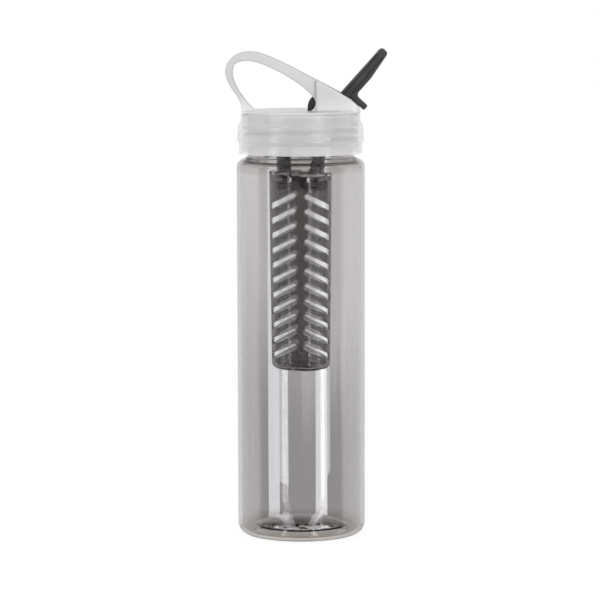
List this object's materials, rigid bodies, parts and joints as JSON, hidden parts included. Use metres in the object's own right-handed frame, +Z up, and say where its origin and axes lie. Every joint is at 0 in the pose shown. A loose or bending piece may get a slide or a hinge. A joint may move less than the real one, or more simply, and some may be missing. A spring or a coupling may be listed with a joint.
{
  "type": "fruit infuser water bottle",
  "caption": "Clear bottle with a frosted screw lid, carry loop, flip spout and a slotted infuser basket hanging from the lid.",
  "frame": {"origin": "centre of the flat ring that the bottle stands on", "axes": "+Z up along the bottle's axis, +X towards the open spout, front of the bottle on -Y"},
  "size_m": [0.0919, 0.073, 0.2785],
  "materials": {
    "clear_smoke": "clear smoke-grey copolyester, glossy",
    "frosted_white": "translucent frosted polypropylene",
    "dark_grey": "satin dark grey plastic",
    "smoke_black": "clear smoke plastic, darker, glossy",
    "silicone": "translucent white silicone"
  },
  "bodies": {
    "bottle": {"bottle_body": "clear_smoke"},
    "gasket": {"lid_gasket": "silicone"},
    "lid": {"lid_shell": "frosted_white", "spout_seal": "silicone"},
    "spout": {"spout": "dark_grey"},
    "collar": {"infuser_collar": "smoke_black"},
    "basket": {"infuser_basket": "smoke_black"}
  },
  "joints": [
    {"name": "lid_lift", "type": "slide", "parent": "bottle", "child": "gasket", "axis": [0, 0, 1], "range_m": [0, 0.009]},
    {"name": "lid_turn", "type": "hinge", "parent": "gasket", "child": "lid", "pos_m": [0, 0, 0.2415], "axis": [0, 0, 1], "range_deg": [0, 720]},
    {"name": "spout_flip", "type": "hinge", "parent": "lid", "child": "spout", "pos_m": [0.012, 0, 0.2451], "axis": [0, -1, 0], "range_deg": [0, 98]},
    {"name": "collar_turn", "type": "hinge", "parent": "lid", "child": "collar", "pos_m": [0, 0, 0.2291], "axis": [0, 0, 1], "range_deg": [0, 720]},
    {"name": "basket_drop", "type": "slide", "parent": "lid", "child": "basket", "axis": [0, 0, -1], "range_m": [0, 0.0072]}
  ],
  "couplings": [
    {"joint": "lid_lift", "follows": "lid_turn", "m_per_rad": 0.0007162},
    {"joint": "basket_drop", "follows": "collar_turn", "m_per_rad": 0.00057296}
  ]
}
